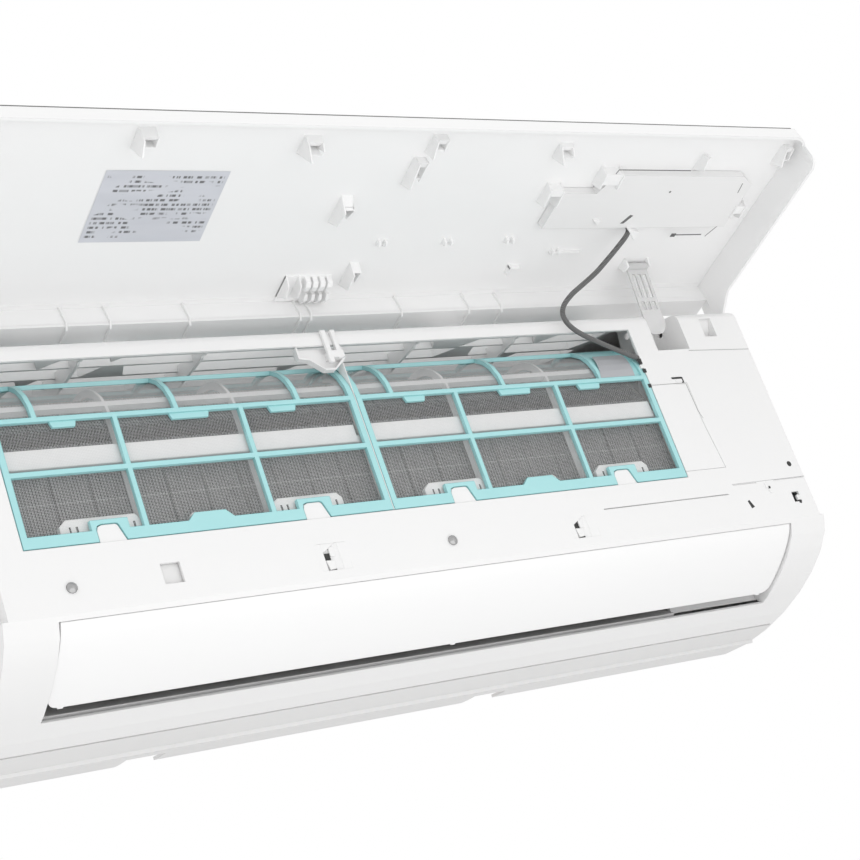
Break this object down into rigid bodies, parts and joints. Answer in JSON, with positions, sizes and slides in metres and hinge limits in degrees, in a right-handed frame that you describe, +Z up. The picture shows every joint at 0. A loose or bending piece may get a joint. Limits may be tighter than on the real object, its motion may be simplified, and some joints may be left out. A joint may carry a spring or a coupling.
{
  "type": "split air conditioner indoor unit",
  "caption": "Wall-hung indoor unit of a split air conditioner, front panel swung up to show its two air filters; with fan, evaporator, louver and vanes.",
  "frame": {"origin": "on the wall, at the middle of the wall plate's rear face", "axes": "+X along the unit to its service end, +Y into the wall, +Z up"},
  "size_m": [0.8, 0.2818, 0.4287],
  "materials": {
    "white_plastic": "fine moulded texture",
    "white_panel": "smooth",
    "cyan_plastic": "satin",
    "grey_net": "woven net",
    "fins": "bare fins",
    "black_plastic": "moulded",
    "steel": "zinc coated",
    "chrome": "plated",
    "rubber": "matte",
    "grey_cable": "sleeve",
    "clear_plastic": "milky translucent",
    "board": "lacquered board",
    "copper": "drawn copper tube",
    "brass": "machined"
  },
  "bodies": {
    "unit": {"wall_plate": "steel", "rear_chassis": "white_plastic", "coil_post": "white_plastic", "front_casing": "white_plastic", "centre_bracket": "white_plastic", "wiring_cover": "white_plastic", "display_cable": "grey_cable", "coil_front": "fins", "coil_middle": "fins", "coil_rear": "fins", "coil_end_plate_left": "fins", "coil_end_plate_right": "fins", "drain_pan": "white_plastic", "fan_bush": "rubber", "fan_motor": "steel", "motor_clamp": "steel", "louver_motor": "steel", "electrical_box": "white_plastic", "main_board": "board", "terminal_block": "black_plastic", "room_sensor": "black_plastic", "casing_screw_left": "chrome", "casing_screw_right": "chrome", "gas_pipe": "copper", "liquid_pipe": "copper", "gas_nut": "brass", "liquid_nut": "brass", "pipe_clamp": "white_plastic"},
    "panel": {"front_panel": "white_panel", "display_cover": "white_plastic", "display_board": "board"},
    "stay": {"stay_arm": "clear_plastic"},
    "filter_left": {"filter_frame_left": "cyan_plastic", "filter_mesh_left": "grey_net"},
    "filter_right": {"filter_frame_right": "cyan_plastic", "filter_mesh_right": "grey_net"},
    "fan": {"fan_rotor": "black_plastic", "fan_shaft": "steel", "motor_shaft": "steel"},
    "flap": {"louver": "white_panel"},
    "link": {"vane_link": "white_plastic"},
    "vane_1_body": {"vane_1": "white_plastic"},
    "vane_2_body": {"vane_2": "white_plastic"},
    "vane_3_body": {"vane_3": "white_plastic"},
    "vane_4_body": {"vane_4": "white_plastic"},
    "vane_5_body": {"vane_5": "white_plastic"},
    "vane_6_body": {"vane_6": "white_plastic"},
    "vane_7_body": {"vane_7": "white_plastic"},
    "vane_8_body": {"vane_8": "white_plastic"}
  },
  "joints": [
    {"name": "panel_hinge", "type": "hinge", "parent": "unit", "child": "panel", "pos_m": [0, -0.109, 0.141], "axis": [-1, 0, 0], "range_deg": [-104, 0], "deforming": ["display_cable"]},
    {"name": "stay_pivot", "type": "hinge", "parent": "panel", "child": "stay", "pos_m": [0.293, -0.13101, 0.20115], "axis": [-1, 0, 0], "range_deg": [-24, 0]},
    {"name": "filter_left_lift", "type": "hinge", "parent": "unit", "child": "filter_left", "pos_m": [-0.2138, -0.10155, 0.08244], "axis": [-1, 0, 0], "range_deg": [0, 17]},
    {"name": "filter_right_lift", "type": "hinge", "parent": "unit", "child": "filter_right", "pos_m": [0.1003, -0.10155, 0.08244], "axis": [-1, 0, 0], "range_deg": [0, 17]},
    {"name": "fan_spin", "type": "hinge", "parent": "unit", "child": "fan", "pos_m": [-0.05, -0.066, -0.028], "axis": [1, 0, 0], "continuous": true},
    {"name": "louver_hinge", "type": "hinge", "parent": "unit", "child": "flap", "pos_m": [0, -0.12054, -0.10387], "axis": [1, 0, 0], "range_deg": [0, 85]},
    {"name": "vane_link_slide", "type": "slide", "parent": "unit", "child": "link", "axis": [-1, 0, 0], "range_m": [-0.0052, 0.0052]},
    {"name": "vane_1_turn", "type": "hinge", "parent": "unit", "child": "vane_1_body", "pos_m": [-0.312, -0.09036, -0.09765], "axis": [0, -0.7361, 0.6768], "range_deg": [-30, 30]},
    {"name": "vane_2_turn", "type": "hinge", "parent": "unit", "child": "vane_2_body", "pos_m": [-0.237, -0.09036, -0.09765], "axis": [0, -0.7361, 0.6768], "range_deg": [-30, 30]},
    {"name": "vane_3_turn", "type": "hinge", "parent": "unit", "child": "vane_3_body", "pos_m": [-0.162, -0.09036, -0.09765], "axis": [0, -0.7361, 0.6768], "range_deg": [-30, 30]},
    {"name": "vane_4_turn", "type": "hinge", "parent": "unit", "child": "vane_4_body", "pos_m": [-0.087, -0.09036, -0.09765], "axis": [0, -0.7361, 0.6768], "range_deg": [-30, 30]},
    {"name": "vane_5_turn", "type": "hinge", "parent": "unit", "child": "vane_5_body", "pos_m": [-0.012, -0.09036, -0.09765], "axis": [0, -0.7361, 0.6768], "range_deg": [-30, 30]},
    {"name": "vane_6_turn", "type": "hinge", "parent": "unit", "child": "vane_6_body", "pos_m": [0.063, -0.09036, -0.09765], "axis": [0, -0.7361, 0.6768], "range_deg": [-30, 30]},
    {"name": "vane_7_turn", "type": "hinge", "parent": "unit", "child": "vane_7_body", "pos_m": [0.138, -0.09036, -0.09765], "axis": [0, -0.7361, 0.6768], "range_deg": [-30, 30]},
    {"name": "vane_8_turn", "type": "hinge", "parent": "unit", "child": "vane_8_body", "pos_m": [0.213, -0.09036, -0.09765], "axis": [0, -0.7361, 0.6768], "range_deg": [-30, 30]}
  ],
  "couplings": [
    {"joint": "stay_pivot", "follows": "panel_hinge", "ratio": 0.23},
    {"joint": "vane_1_turn", "follows": "vane_link_slide", "rad_per_m": 100},
    {"joint": "vane_2_turn", "follows": "vane_link_slide", "rad_per_m": 100},
    {"joint": "vane_3_turn", "follows": "vane_link_slide", "rad_per_m": 100},
    {"joint": "vane_4_turn", "follows": "vane_link_slide", "rad_per_m": 100},
    {"joint": "vane_5_turn", "follows": "vane_link_slide", "rad_per_m": 100},
    {"joint": "vane_6_turn", "follows": "vane_link_slide", "rad_per_m": 100},
    {"joint": "vane_7_turn", "follows": "vane_link_slide", "rad_per_m": 100},
    {"joint": "vane_8_turn", "follows": "vane_link_slide", "rad_per_m": 100}
  ]
}
